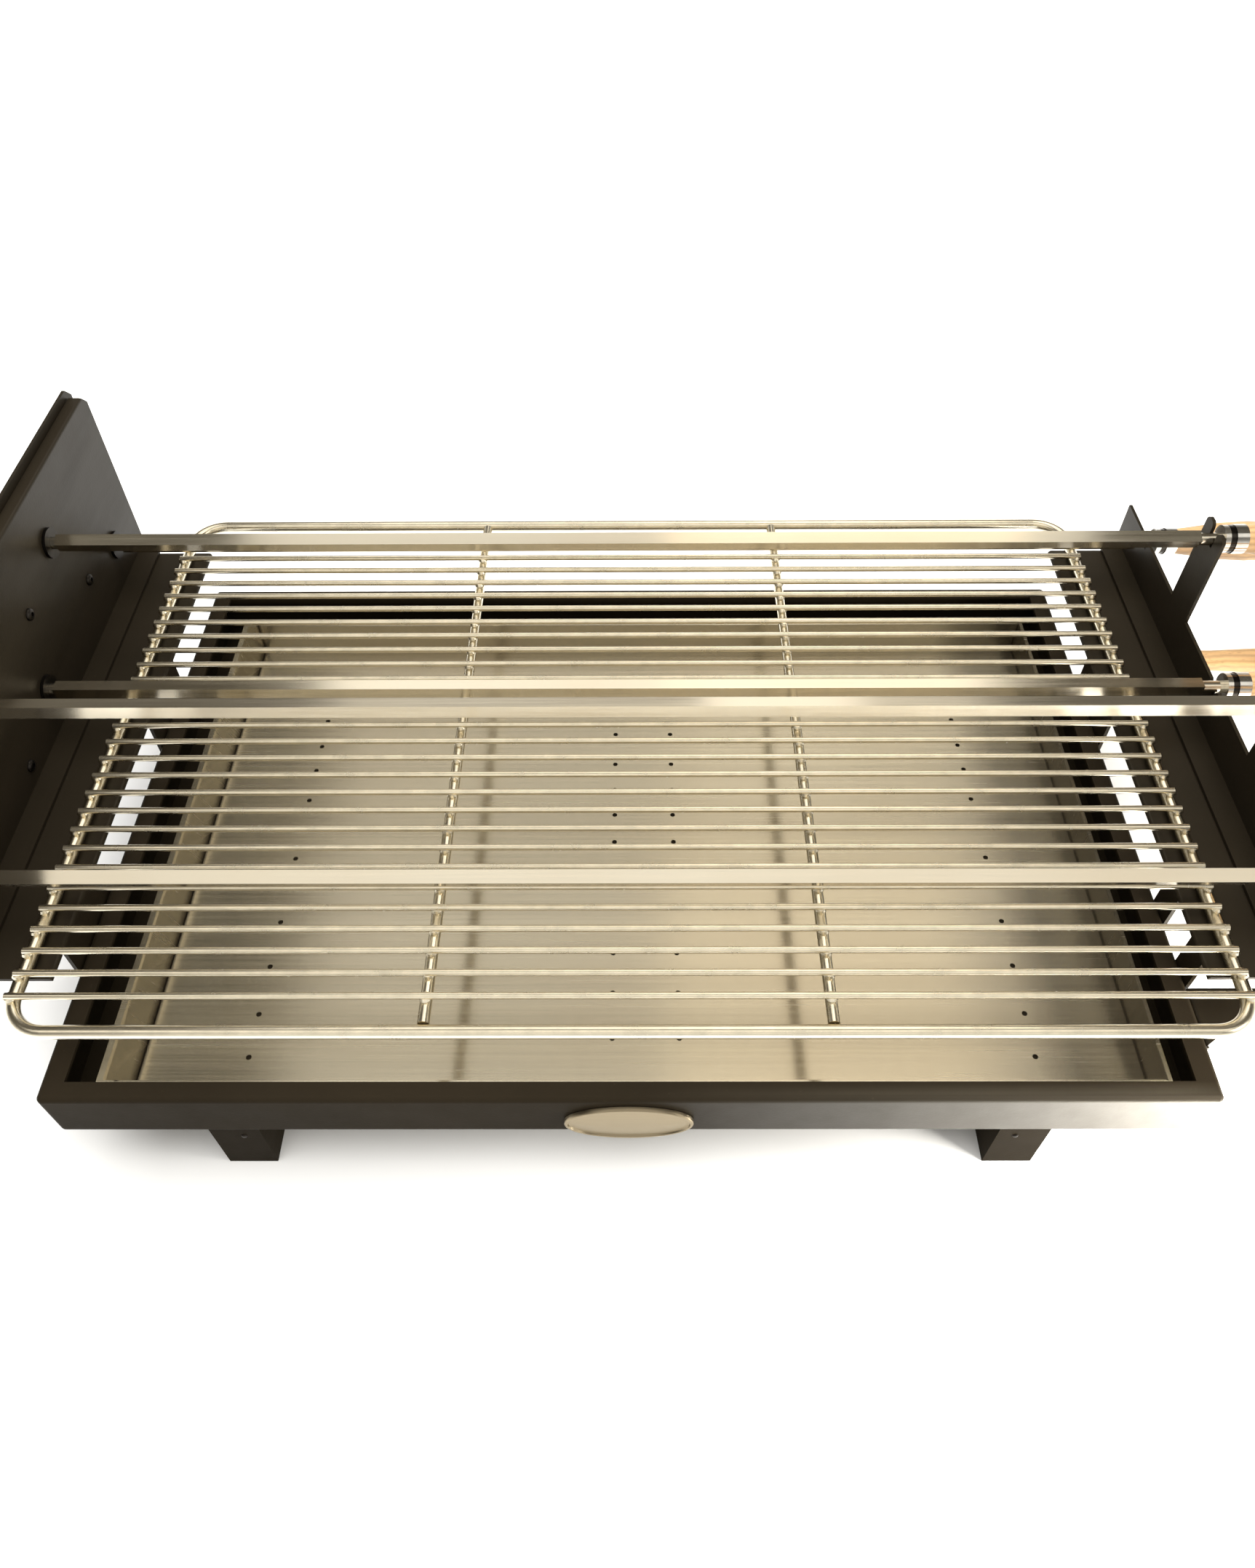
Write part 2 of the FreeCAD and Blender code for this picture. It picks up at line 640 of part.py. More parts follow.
# Grate: bent frame bar, two cross bars, thin wires on top
def grate():
    bar_z = rail_top + seat_gap + grate_bar
    frame = new_body("grate_frame")
    spine = new_sketch(frame, "XY_Plane", bar_z)
    x = grate_x.value
    y0 = -grate_front.value
    y1 = grate_back.value
    r = grate_bend.value
    spine.addGeometry(Part.LineSegment(Vector(0, y0, 0), Vector(x - r, y0, 0)), False)
    bends = [(x - r, y0 + r, -90), (x - r, y1 - r, 0), (-x + r, y1 - r, 90), (-x + r, y0 + r, 180)]
    ends = [(x, y1 - r), (-x + r, y1), (-x, y0 + r), (0, y0)]
    for (cx, cy, start), end in zip(bends, ends):
        ring = Part.Circle(Vector(cx, cy, 0), Vector(0, 0, 1), r)
        a = math.radians(start)
        arc = Part.ArcOfCircle(ring, a, a + math.pi / 2)
        spine.addGeometry(arc, False)
        tail = arc.EndPoint
        spine.addGeometry(Part.LineSegment(tail, Vector(end[0], end[1], 0)), False)
    count = spine.GeometryCount
    for i in range(1, count, 2):
        spine.addConstraint(Sketcher.Constraint("Tangent", i - 1, 2, i, 1))
        spine.addConstraint(Sketcher.Constraint("Tangent", i, 2, i + 1, 1))
        rule = spine.addConstraint(Sketcher.Constraint("Radius", i, r))
        spine.setExpression("Constraints[%d]" % rule, grate_bend.text)
    spine.addConstraint(Sketcher.Constraint("Coincident", count - 1, 2, 0, 1))
    for line, way in ((0, "Horizontal"), (2, "Vertical"), (4, "Horizontal"), (6, "Vertical"), (8, "Horizontal")):
        spine.addConstraint(Sketcher.Constraint(way, line))
    pin(spine, 0, 1, 0, -grate_front)
    sides = (("DistanceX", 2, grate_x), ("DistanceX", 6, -grate_x), ("DistanceY", 4, grate_back))
    for kind, line, amount in sides:
        rule = spine.addConstraint(Sketcher.Constraint(kind, -1, 1, line, 1, amount.value))
        spine.setExpression("Constraints[%d]" % rule, amount.text)
    section = new_sketch(frame, "YZ_Plane")
    circle(section, -grate_front, bar_z, grate_bar)
    doc.recompute()
    pipe = frame.newObject("PartDesign::AdditivePipe", "grate_pipe")
    pipe.Profile = section
    pipe.Spine = (spine, ["Edge%d" % (i + 1) for i in range(count)])
    frame.Tip = pipe

    cross = new_body("grate_cross_bars")
    cross_z = bar_z + grate_bar - cross_r
    near = grate_front - grate_bar - seat_gap
    far = grate_back - grate_bar - seat_gap
    sketch = new_sketch(cross, "XZ_Plane", -far)
    for side in (-1, 1):
        circle(sketch, side * cross_x, cross_z, cross_r)
    pad(cross, sketch, far + near)

    wires = new_body("grate_wires")
    wire_z = bar_z + grate_bar + wire_r + seat_gap
    first = new_sketch(wires, "YZ_Plane", -wire_half)
    circle(first, -wire_first, wire_z, wire_r)
    rod = pad(wires, first, wire_half * 2)
    doc.recompute()
    row = wires.newObject("PartDesign::LinearPattern", "grate_row")
    row.Originals = [rod]
    row.Direction = (origin_feature(wires, "Y_Axis"), [""])
    bind(row, "Length", wire_pitch * (wire_count - 1))
    bind(row, "Occurrences", wire_count)
    wires.Tip = row


firebox()
foot("foot_front_left", -1, -1)
foot("foot_front_right", 1, -1)
foot("foot_back_left", -1, 1)
foot("foot_back_right", 1, 1)
badge()
pan()
rail("rail_left", -1, -cover_x, [(-tab_front, tab_w), (tab_back, tab_w)])
rail("rail_right", 1, plate_x + sheet_t, [(-strip_far, strip_w), (-strip_near, strip_w), (tab_back, tab_w)])
corner_bracket()
tower_plate()
tower_cover()
spit_rest()
bushings()
side_grip()
for number, turn in zip(SPITS, (10.0, 24.0, 2.0, -5.0, 25.0)):
    spit(number, turn)
grate()
doc.recompute()

# Every object has to be sound before anything is written
for thing in doc.Objects:
    if "Invalid" in thing.State or "Error" in thing.State:
        raise RuntimeError("%s is %s" % (thing.Label, thing.State))
os.makedirs("parts", exist_ok=True)
for body in exported:
    shape = body.Shape
    if shape.isNull() or not shape.isValid() or not shape.Solids:
        raise RuntimeError("bad shape in " + body.Label)
    shape.exportStep(os.path.join("parts", body.Label + ".step"))
    box = shape.BoundBox
    print("%-20s solids %3d  X %8.1f %8.1f  Y %8.1f %8.1f  Z %7.1f %7.1f" % (
        body.Label, len(shape.Solids), box.XMin, box.XMax, box.YMin, box.YMax, box.ZMin, box.ZMax))
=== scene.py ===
"""Looks of a table-top charcoal spit grill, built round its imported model."""

import math

import bmesh
import bpy
from mathutils import Matrix, Vector


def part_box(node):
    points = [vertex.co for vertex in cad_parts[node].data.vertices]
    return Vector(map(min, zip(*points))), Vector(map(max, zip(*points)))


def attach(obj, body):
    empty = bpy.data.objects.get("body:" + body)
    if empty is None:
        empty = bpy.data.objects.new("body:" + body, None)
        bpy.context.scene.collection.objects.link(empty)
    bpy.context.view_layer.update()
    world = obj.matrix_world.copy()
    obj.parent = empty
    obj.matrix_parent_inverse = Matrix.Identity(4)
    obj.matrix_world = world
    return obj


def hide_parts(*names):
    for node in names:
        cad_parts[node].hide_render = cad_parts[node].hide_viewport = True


bl_info = {
    "name": "Spit Grill",
    "version": (1, 0, 0),
    "blender": (4, 5, 0),
    "location": "View3D > Sidebar > Spit Grill",
    "description": "Finishes and small parts of a table-top charcoal spit grill",
    "category": "Object",
}

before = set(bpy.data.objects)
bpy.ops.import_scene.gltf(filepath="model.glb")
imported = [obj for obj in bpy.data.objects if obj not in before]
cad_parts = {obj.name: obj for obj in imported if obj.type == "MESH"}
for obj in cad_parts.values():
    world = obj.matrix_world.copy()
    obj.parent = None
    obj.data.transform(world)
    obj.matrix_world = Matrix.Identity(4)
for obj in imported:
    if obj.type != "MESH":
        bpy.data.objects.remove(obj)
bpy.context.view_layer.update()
low_box, high_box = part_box("firebox")
MIDDLE = Vector(((low_box[0] + high_box[0]) / 2, (low_box[1] + high_box[1]) / 2, 0.0))

FEET = ("foot_front_left", "foot_front_right", "foot_back_left", "foot_back_right")
PLATES = ("rail_left", "rail_right", "corner_bracket", "tower_plate", "tower_cover", "spit_rest")
GRATE = ("grate_frame", "grate_cross_bars", "grate_wires")
SPITS = ("spit_1", "spit_2", "spit_3", "spit_4", "spit_5")

# The grate: thin wires, and radius of the frame bar and of a cross bar
WIRE_COUNT = 28
FRAME_RADIUS = 0.0035
CROSS_RADIUS = 0.003

# Tower screws: depth behind the firebox's middle and height above the ground
TOWER_SCREWS = ((0.0604, 0.1718), (0.1307, 0.1388), (-0.0045, 0.1156))
# Tab screws: depth behind the firebox's middle, all at one height
LEFT_TAB_SCREWS = (-0.108, -0.072, 0.052, 0.089)
RIGHT_TAB_SCREWS = (-0.118, -0.0795, 0.052, 0.089)
TAB_SCREW_HEIGHT = 0.068
# How far a tab stands out from the firebox, and a bushing's flange from the tower
TAB_PROUD = 0.0023
BUSHING_PROUD = 0.0021
# Foot rivets: below the top of the foot, off its middle, and size against a screw
RIVET_DROP = 0.010
RIVET_INWARD = 0.0035
RIVET_SHARE = 0.42

# Profiles turned about Z in shares of their radius, from the outer edge to the middle
WELD_PROFILE = ((0.72, -0.75), (1.25, -0.45), (1.42, 0.0), (1.1, 0.55), (0.45, 0.8))
SCREW_PROFILE = ((1.0, -0.04), (1.0, 0.12), (0.93, 0.34), (0.72, 0.50), (0.42, 0.56), (0.38, 0.28))
SOCKET_RINGS = 2
RIVET_PROFILE = ((1.0, -0.04), (1.0, 0.10), (0.80, 0.40), (0.40, 0.60))
WELD_SINK = 0.0014

# Marks on the pan: from its left end to where the hem stops
HEM_EDGE = (0.0105, 0.0110)
# From its left and right end to a fold with a painted shade line, with half the line's width
SHADED_FOLDS = ((0.0100, 0.0019), (-0.0026, 0.0008))
# From its right end to the top of the right wall
WALL_EDGE = (-0.0030, -0.0023)
# From the firebox's middle to the strip of floor at the right with painted shade
SHADED_STRIP_EDGE = (0.214, 0.236)
# From its front and from its top to the painted highlight on the lip
LIP_BACK = (0.0014, 0.0016)
LIP_TOP = (-0.0016, -0.0010)

# Stretch of a pattern along X
ALONG_X = (0.02, 1.0, 1.0)

BLACK = (0.0, 0.0, 0.0)
FOLD_SHADE = (0.03, 0.02, 0.012)
WALL_SHADE_COLOUR = (0.12, 0.10, 0.07)
PAINTED_LIP_HIGHLIGHT = (1.0, 0.95, 0.80)

# Soft lights: place, the point that each one faces, width and depth, power and tint
DAY, LAMP = (1.0, 0.965, 0.90), (1.0, 0.84, 0.58)
SOFTBOXES = {
    "softbox_over": ((0.0, 0.875, 1.46), (0.0, 0.875, 0.0), (1.44, 1.45), 8.1, DAY),
    "softbox_far": ((0.32, 1.95, 1.46), (0.32, 1.95, 0.0), (0.40, 0.70), 1.2, DAY),
    "softbox_warm": ((0.30, 0.58, 1.44), (0.30, 0.58, 0.0), (0.60, 0.9), 1.35, LAMP),
    "softbox_back": ((0.0, -1.60, 1.30), (0.0, -0.1, 0.05), (2.2, 1.4), 7.5, DAY),
    "softbox_top": ((0.0, -0.62, 1.60), (0.0, -0.62, 0.0), (3.0, 0.9), 8.0, DAY),
    "softbox_right": ((1.9, -0.9, 1.1), (0.1, 0.0, 0.1), (1.0, 1.0), 7.0, DAY),
    "floor_glow": ((0.34, -0.30, 0.10), (0.28, -0.232, 0.0), (0.12, 0.05), 2.6, DAY),
}
UNMIRRORED = ("floor_glow",)

# Colour of the room from the horizon to straight overhead
SKY = ((0.0, (1.0, 0.995, 0.98)), (0.20, (0.62, 0.60, 0.56)), (0.42, (0.22, 0.21, 0.19)),
       (0.60, (0.075, 0.065, 0.050)), (1.0, (0.12, 0.11, 0.09)))

# The camera stands over the front edge and looks steeply down
CAMERA_PLACE = MIDDLE + Vector((0.0028, -0.4266, 0.5997))
CAMERA_YAW, CAMERA_PITCH, CAMERA_ROLL = (math.radians(angle) for angle in (-0.49, 49.9, -0.5))
FOCAL_PIXELS = 1557.7
PHOTO_PIXELS = 2156
SENSOR = 36.0


# Helpers for nodes and meshes


class Finish:
    """A material made of nodes round one shader."""

    def __init__(self, name, constants):
        self.material = bpy.data.materials.new(name)
        self.material.use_nodes = True
        self.tree = self.material.node_tree
        self.tree.nodes.clear()
        out = self.tree.nodes.new("ShaderNodeOutputMaterial")
        self.shader = self.step("BsdfPrincipled", constants)
        self.tree.links.new(self.shader.outputs["BSDF"], out.inputs["Surface"])
        self.place = self.step("TexCoord").outputs["Object"]
        self.colour = None
        self.lines = None

    def step(self, kind, values=None, **settings):
        node = self.tree.nodes.new("ShaderNode" + kind)
        for name, value in settings.items():
            setattr(node, name, value)
        for socket, value in (values or {}).items():
            if isinstance(value, bpy.types.NodeSocket):
                self.tree.links.new(value, node.inputs[socket])
            else:
                node.inputs[socket].default_value = value
        return node

    def mapped(self, scale, location=(0, 0, 0)):
        values = {"Vector": self.place, "Scale": scale, "Location": location}
        return self.step("Mapping", values).outputs["Vector"]

    def noise(self, vector, scale, detail, roughness=0.5):
        values = {"Vector": vector, "Scale": scale, "Detail": detail, "Roughness": roughness}
        return self.step("TexNoise", values).outputs["Fac"]

    def ramp(self, amount, stops):
        node = self.step("ValToRGB", {"Fac": amount})
        while len(node.color_ramp.elements) < len(stops):
            node.color_ramp.elements.new(0.5)
        for element, (position, colour) in zip(node.color_ramp.elements, stops):
            element.position = position
            element.color = (*colour, 1.0)
        return node.outputs["Color"]

    def spread(self, amount, low, high):
        """Bring a pattern between two values."""
        values = {"Value": amount, "From Min": 0.25, "From Max": 0.75, "To Min": low, "To Max": high}
        return self.step("MapRange", values).outputs["Result"]

    def product(self, first, second):
        return self.step("Math", {0: first, 1: second}, operation="MULTIPLY").outputs[0]

    def blend(self, amount, first, second):
        node = self.step("Mix", {"Factor": amount}, data_type="RGBA")
        for socket, value in ((node.inputs[6], first), (node.inputs[7], second)):
            if isinstance(value, bpy.types.NodeSocket):
                self.tree.links.new(value, socket)
            else:
                socket.default_value = (*value, 1.0)
        return node.outputs[2]

    def axis(self, name):
        """Distance along one axis of the grill."""
        return self.step("SeparateXYZ", {"Vector": self.place}).outputs[name]

    def between(self, amount, start, end, low, high):
        """A straight change between two places, held outside them."""
        values = {"Value": amount, "From Min": start, "From Max": end, "To Min": low, "To Max": high}
        return self.step("MapRange", values).outputs["Result"]

    def line(self, amount, middle, half, strength):
        """A soft line round one place."""
        away = self.step("Math", {0: amount, 1: middle}, operation="SUBTRACT").outputs[0]
        away = self.step("Math", {0: away}, operation="ABSOLUTE").outputs[0]
        return self.between(away, 0.0, half, strength, 0.0)

    def across(self, axis):
        """The direction in the surface that is square to an axis, or Y where it faces along it."""
        normal = self.step("NewGeometry").outputs["Normal"]
        square = self.step("VectorMath", {0: normal, 1: axis}, operation="CROSS_PRODUCT").outputs[0]
        a_little_y = (0.0, 0.02, 0.0)
        return self.step("VectorMath", {0: square, 1: a_little_y}, operation="ADD").outputs[0]

    def relief(self, height, strength, distance, before=None):
        values = {"Height": height, "Strength": strength, "Distance": distance}
        if before is not None:
            values["Normal"] = before
        return self.step("Bump", values).outputs["Normal"]

    def feed(self, socket, value):
        self.tree.links.new(value, self.shader.inputs[socket])


def shade(colour, amount):
    return tuple(min(1.0, part * amount) for part in colour)


def paint_node(name, material):
    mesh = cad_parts[name].data
    mesh.materials.clear()
    mesh.materials.append(material)


def new_piece(name, mesh, material=None):
    piece = bpy.data.objects.new(name, mesh)
    bpy.context.scene.collection.objects.link(piece)
    if material is not None:
        mesh.materials.append(material)
    return piece


def middle_of(name):
    low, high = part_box(name)
    return tuple((a + b) / 2 for a, b in zip(low, high))


def smooth(mesh, sharp_above=35.0):
    for face in mesh.polygons:
        face.use_smooth = True
    mesh.set_sharp_from_angle(angle=math.radians(sharp_above))


def turned(name, profile, sides, cross=None):
    """A closed mesh turned about Z. The profile runs from the outer edge to the middle."""
    shape = bmesh.new()
    rings = []
    for index, (radius, height) in enumerate(profile):
        ring = []
        for side in range(sides):
            angle = math.tau * side / sides
            grow = cross(index, angle) if cross else 1.0
            spot = (radius * grow * math.cos(angle), radius * grow * math.sin(angle), height)
            ring.append(shape.verts.new(spot))
        rings.append(ring)
    for low, high in zip(rings, rings[1:]):
        for side in range(sides):
            after = (side + 1) % sides
            shape.faces.new((low[side], low[after], high[after], high[side]))
    shape.faces.new(rings[-1])
    shape.faces.new(tuple(reversed(rings[0])))
    bmesh.ops.recalc_face_normals(shape, faces=shape.faces)
    mesh = bpy.data.meshes.new(name)
    shape.to_mesh(mesh)
    shape.free()
    return mesh


def repeat(name, spots, template, material, size):
    """Place a template on every spot, turned to its direction, with Geometry Nodes."""
    mesh = bpy.data.meshes.new(name + "_spots")
    mesh.from_pydata([spot for spot, direction in spots], [], [])
    facing = mesh.attributes.new("facing", "FLOAT_VECTOR", "POINT")
    for index, (spot, direction) in enumerate(spots):
        facing.data[index].vector = direction

    tree = bpy.data.node_groups.new(name + "_tree", "GeometryNodeTree")
    face = tree.interface
    face.new_socket("Geometry", in_out="INPUT", socket_type="NodeSocketGeometry")
    sockets = {
        "Template": face.new_socket("Template", in_out="INPUT", socket_type="NodeSocketObject"),
        "Size": face.new_socket("Size", in_out="INPUT", socket_type="NodeSocketFloat"),
        "Finish": face.new_socket("Finish", in_out="INPUT", socket_type="NodeSocketMaterial"),
    }
    face.new_socket("Geometry", in_out="OUTPUT", socket_type="NodeSocketGeometry")
    kinds = {
        "given": "NodeGroupInput",
        "thing": "GeometryNodeObjectInfo",
        "facing": "GeometryNodeInputNamedAttribute",
        "turn": "FunctionNodeAlignRotationToVector",
        "put": "GeometryNodeInstanceOnPoints",
        "real": "GeometryNodeRealizeInstances",
        "finish": "GeometryNodeSetMaterial",
        "result": "NodeGroupOutput",
    }
    part = {key: tree.nodes.new(kind) for key, kind in kinds.items()}
    part["facing"].data_type = "FLOAT_VECTOR"
    part["facing"].inputs["Name"].default_value = "facing"
    part["turn"].axis = "Z"
    joins = (
        ("given", "Geometry", "put", "Points"),
        ("given", "Template", "thing", "Object"),
        ("given", "Size", "put", "Scale"),
        ("given", "Finish", "finish", "Material"),
        ("thing", "Geometry", "put", "Instance"),
        ("facing", "Attribute", "turn", "Vector"),
        ("turn", "Rotation", "put", "Rotation"),
        ("put", "Instances", "real", "Geometry"),
        ("real", "Geometry", "finish", "Geometry"),
        ("finish", "Geometry", "result", "Geometry"),
    )
    for source, leaving, target, entering in joins:
        tree.links.new(part[source].outputs[leaving], part[target].inputs[entering])

    model = new_piece(name + "_template", template)
    piece = new_piece(name, mesh)
    modifier = piece.modifiers.new("repeat", "NODES")
    modifier.node_group = tree
    modifier[sockets["Template"].identifier] = model
    modifier[sockets["Size"].identifier] = size
    modifier[sockets["Finish"].identifier] = material
    bpy.context.view_layer.update()
    seen = piece.evaluated_get(bpy.context.evaluated_depsgraph_get())
    result = bpy.data.meshes.new_from_object(seen)
    piece.modifiers.clear()
    piece.data = result
    result.name = name
    bpy.data.objects.remove(model)
    smooth(result)
    if not result.polygons or not result.materials:
        raise RuntimeError(name + " came out empty or without its material")
    return piece


# Finishes


def heat_paint(name, colour, index):
    """Heat-proof paint on sheet steel, with fine orange peel and greasy smudges."""
    finish = Finish(name, {"Metallic": 0.0, "IOR": index, "Specular Tint": (1.0, 0.94, 0.80, 1.0)})
    smudge = finish.noise(finish.mapped((1.0, 1.0, 1.6)), 9.0, 5.0, 0.6)
    streak = finish.noise(finish.mapped((1.0, 0.16, 1.0)), 55.0, 4.0, 0.65)
    dust = finish.noise(finish.place, 420.0, 2.0, 0.7)
    base = finish.blend(smudge, shade(colour, 0.7), shade(colour, 1.35))
    worn = finish.ramp(dust, ((0.0, BLACK), (0.7, BLACK), (0.82, (0.4, 0.4, 0.4))))
    finish.feed("Base Color", finish.blend(worn, base, shade(colour, 3.0)))
    finish.feed("Roughness", finish.spread(streak, 0.30, 0.42))
    peel = finish.relief(finish.noise(finish.place, 750.0, 2.0), 0.08, 0.0004)
    finish.feed("Normal", finish.relief(finish.noise(finish.place, 45.0, 2.0), 0.04, 0.002, peel))
    return finish


def brushed(name, colour, rough, warm, fine, stretch, contrast=0.08, smear=0.88, metal=1.0):
    """Steel brushed along X, so reflections smear across it."""
    finish = Finish(name, {"Metallic": metal, "Anisotropic": smear})
    finish.feed("Tangent", finish.across((1.0, 0.0, 0.0)))
    lines = finish.noise(finish.mapped(stretch), fine, 4.0, 0.65)
    bands = finish.noise(finish.mapped(stretch), fine * 0.10, 3.0, 0.55)
    stain = finish.noise(finish.mapped((1.0, 0.7, 1.0)), 4.5, 4.0, 0.55)
    dark, light = shade(colour, 1.0 - contrast), shade(colour, 1.0 + contrast)
    base = finish.blend(finish.spread(lines, 0.0, 1.0), dark, light)
    base = finish.blend(finish.spread(bands, 0.0, 0.5), base, shade(colour, 1.0 - 2.2 * contrast))
    heat = finish.ramp(stain, ((0.40, BLACK), (0.75, (0.35, 0.35, 0.35))))
    finish.lines = lines
    finish.colour = finish.blend(heat, base, warm)
    finish.feed("Base Color", finish.colour)
    finish.feed("Roughness", finish.spread(lines, rough - 0.03, rough + 0.06))
    finish.feed("Normal", finish.relief(lines, 0.012, 0.0002))
    return finish


def plated(name, colour, rough):
    """Bright plating with a slight grime in random blotches."""
    finish = Finish(name, {"Metallic": 1.0})
    grime = finish.noise(finish.place, 70.0, 4.0, 0.6)
    dark = finish.ramp(grime, ((0.40, BLACK), (0.72, (0.6, 0.6, 0.6))))
    finish.colour = finish.blend(dark, shade(colour, 1.0), shade(colour, 0.72))
    finish.feed("Base Color", finish.colour)
    finish.feed("Roughness", finish.spread(grime, rough, rough + 0.10))
    return finish


def turned_wood(name, colour, node):
    """Turned, oiled beech. The grain runs along X, and its rings are centred beside the handle."""
    near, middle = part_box(node)[0][0], middle_of(node)
    aside, above = 0.021, 0.013
    finish = Finish(name, {"Specular IOR Level": 0.45, "Coat Weight": 0.18, "Coat Roughness": 0.25})
    centred = finish.mapped((1.0, 1.0, 1.0), (-near, aside - middle[1], above - middle[2]))
    values = {"Vector": centred, "Scale": 95.0, "Distortion": 3.5, "Detail": 3.0, "Detail Scale": 0.8}
    rings = finish.step("TexWave", values, wave_type="RINGS", rings_direction="X").outputs["Fac"]
    fibre = finish.noise(finish.mapped((0.05, 1.0, 1.0), (middle[1] * 7, 0, 0)), 1500.0, 4.0, 0.7)
    fleck = finish.noise(finish.mapped((0.22, 1.0, 1.0)), 900.0, 2.0)
    tones = ((0.0, 0.74), (0.55, 1.0), (1.0, 1.12))
    base = finish.ramp(rings, tuple((place, shade(colour, amount)) for place, amount in tones))
    base = finish.blend(finish.spread(fibre, 0.0, 0.42), base, shade(colour, 0.60))
    spots = finish.ramp(fleck, ((0.62, BLACK), (0.70, (0.6, 0.6, 0.6))))
    finish.feed("Base Color", finish.blend(spots, base, shade(colour, 0.48)))
    finish.feed("Roughness", finish.spread(fibre, 0.36, 0.52))
    finish.feed("Normal", finish.relief(fibre, 0.18, 0.0004))
    return finish.material


class SpitGrillSizes(bpy.types.PropertyGroup):
    """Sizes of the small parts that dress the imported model."""

    screw_radius: bpy.props.FloatProperty(
        name="Screw head radius", description="Radius of a button-head screw",
        default=0.0036, min=0.001, max=0.01, subtype="DISTANCE", unit="LENGTH")
    weld_radius: bpy.props.FloatProperty(
        name="Weld radius", description="Radius of a weld bead where two wires cross",
        default=0.0023, min=0.0005, max=0.006, subtype="DISTANCE", unit="LENGTH")
    badge_dome: bpy.props.FloatProperty(
        name="Plate dome", description="Rise of the oval plate's domed face",
        default=0.0016, min=0.0, max=0.004, subtype="DISTANCE", unit="LENGTH")
    badge_rim: bpy.props.FloatProperty(
        name="Plate rim", description="Width of the raised rim round the oval plate",
        default=0.0022, min=0.0005, max=0.006, subtype="DISTANCE", unit="LENGTH")


class SpitGrillColours(bpy.types.PropertyGroup):
    """Colours of the grill's finishes."""

    paint: bpy.props.FloatVectorProperty(
        name="Paint", description="Heat-proof paint on the sheet metal",
        default=(0.0190, 0.0145, 0.0090), size=3, min=0.0, max=1.0, subtype="COLOR")
    pan: bpy.props.FloatVectorProperty(
        name="Pan", description="Brushed steel of the pan",
        default=(0.63, 0.578, 0.457), size=3, min=0.0, max=1.0, subtype="COLOR")
    wire: bpy.props.FloatVectorProperty(
        name="Grate wire", description="Plated wire of the grate",
        default=(0.93, 0.85, 0.67), size=3, min=0.0, max=1.0, subtype="COLOR")
    spit: bpy.props.FloatVectorProperty(
        name="Spit", description="Square steel bars of the spits",
        default=(0.90, 0.83, 0.68), size=3, min=0.0, max=1.0, subtype="COLOR")
    wood: bpy.props.FloatVectorProperty(
        name="Wood", description="Oiled beech of the handles",
        default=(0.56, 0.345, 0.155), size=3, min=0.0, max=1.0, subtype="COLOR")
    badge: bpy.props.FloatVectorProperty(
        name="Oval plate", description="Satin metal of the bare oval plate",
        default=(0.33, 0.275, 0.185), size=3, min=0.0, max=1.0, subtype="COLOR")
    floor: bpy.props.FloatVectorProperty(
        name="Floor", description="Plain pale floor",
        default=(0.90, 0.90, 0.89), size=3, min=0.0, max=1.0, subtype="COLOR")


class SPITGRILL_OT_sheet_metal(bpy.types.Operator):
    """Paint the firebox, feet, rails and upright plates"""

    bl_idname = "spitgrill.sheet_metal"
    bl_label = "Sheet metal"

    def execute(self, context):
        colour = context.scene.spit_grill_colours.paint
        low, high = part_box("firebox")
        least, growth = 1.07, 0.68
        matt = heat_paint("firebox_paint", colour, least)
        # Only the front face shines, more and more towards its right end
        gloss = matt.between(matt.axis("X"), MIDDLE.x, high[0] - 0.04, 0.0, growth)
        front = matt.between(matt.axis("Y"), low[1] + 0.004, low[1] + 0.010, 1.0, 0.0)
        index = matt.step("Math", {0: gloss, 1: front, 2: least}, operation="MULTIPLY_ADD")
        matt.feed("IOR", index.outputs[0])
        # The feet and plates take a darker copy of the firebox paint, which is painted shade
        dull = heat_paint("foot_paint_shaded", shade(colour, 0.8), 1.05)
        glossy = heat_paint("plate_paint_shaded", shade(colour, 0.8), 1.25)
        paint_node("firebox", matt.material)
        for name in FEET:
            paint_node(name, dull.material)
        for name in PLATES:
            paint_node(name, glossy.material)
        return {"FINISHED"}


